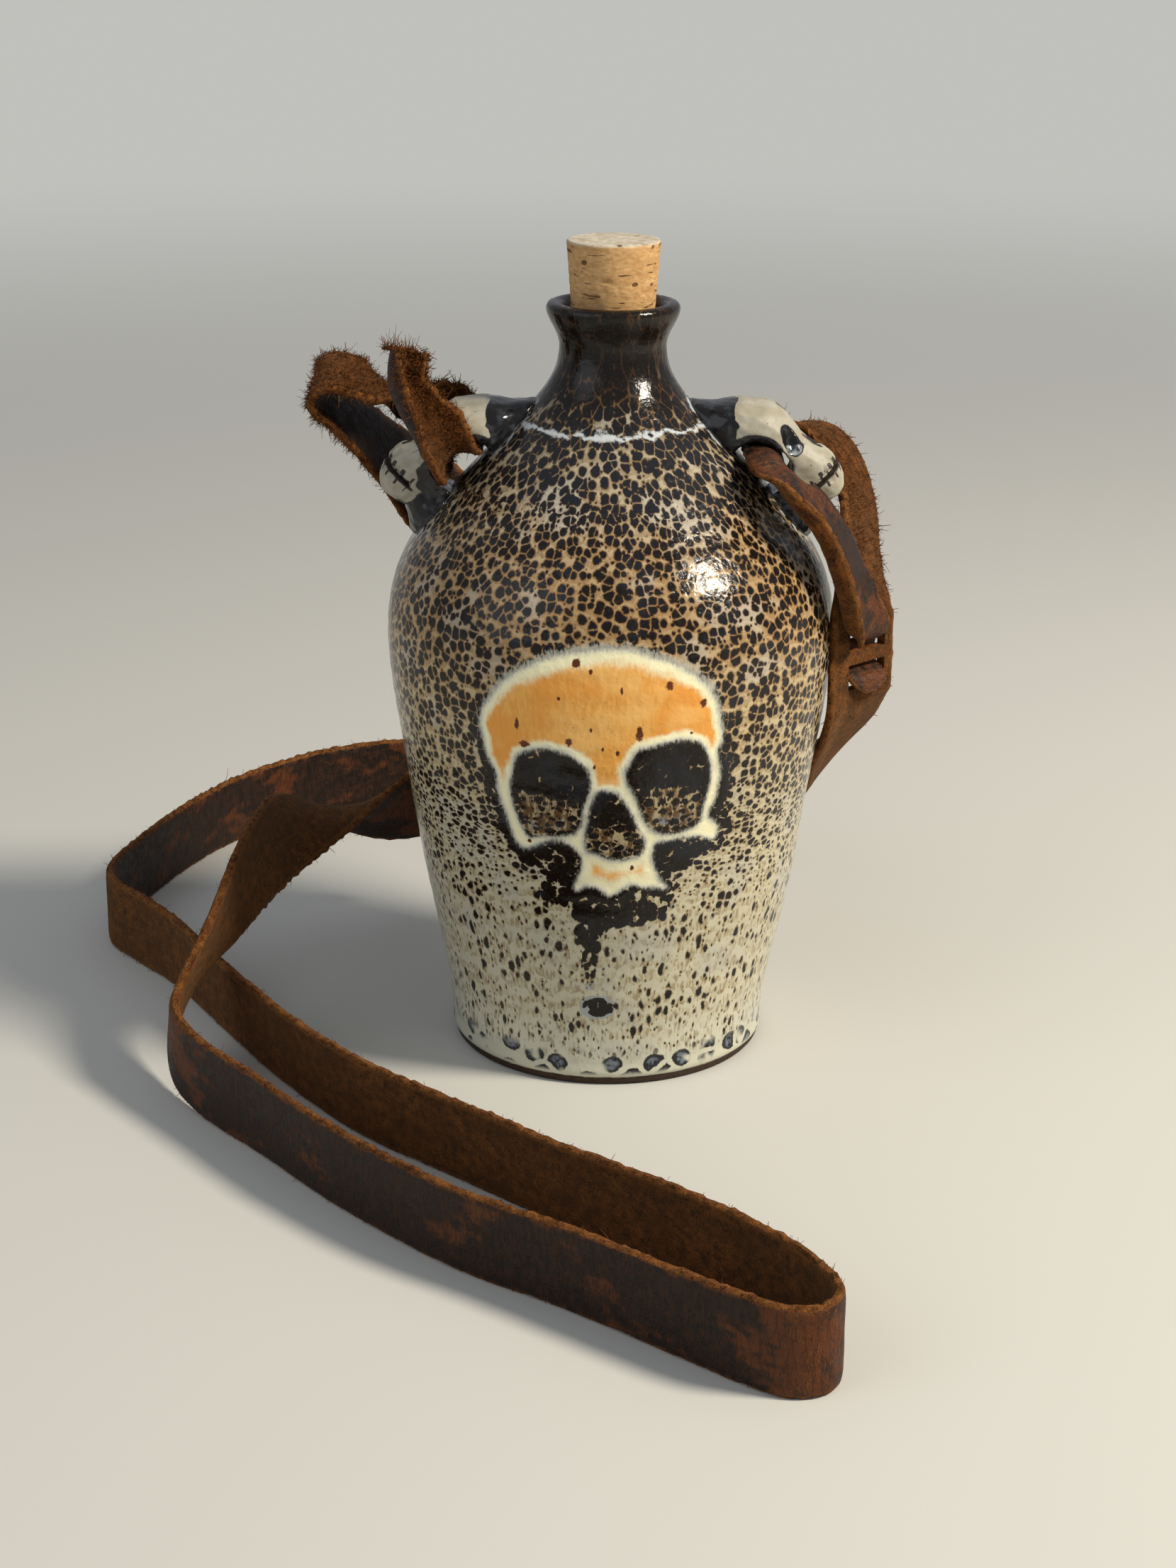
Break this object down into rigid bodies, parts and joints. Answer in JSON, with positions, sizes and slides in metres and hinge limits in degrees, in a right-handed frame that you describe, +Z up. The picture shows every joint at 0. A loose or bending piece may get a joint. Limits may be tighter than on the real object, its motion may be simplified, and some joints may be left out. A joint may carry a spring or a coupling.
{
  "type": "stoneware canteen",
  "caption": "Stoneware canteen with a flared neck, a lift-out cork and skull-shaped strap lugs on the shoulders that carry one long leather strap.",
  "frame": {"origin": "centre of the flask's foot, on the surface that it stands on", "axes": "+Z up along the flask's axis, front of the flask towards -Y, the lugs along X"},
  "size_m": [0.2173, 0.3724, 0.2098],
  "materials": {
    "speckled_glaze": "glossy, cream and tan web over blue-black cells",
    "bone_bisque": "satin bone with a dark gloss on the back",
    "cork_bark": "raw cork",
    "brown_leather": "dark grain outside, orange-brown suede inside"
  },
  "bodies": {
    "flask": {"bottle": "speckled_glaze", "lug_skull_left": "bone_bisque", "lug_skull_right": "bone_bisque", "strap": "brown_leather"},
    "stopper": {"cork": "cork_bark"}
  },
  "joints": [
    {"name": "cork_slide", "type": "slide", "parent": "flask", "child": "stopper", "axis": [0, 0, 1], "range_m": [0, 0.045]}
  ]
}
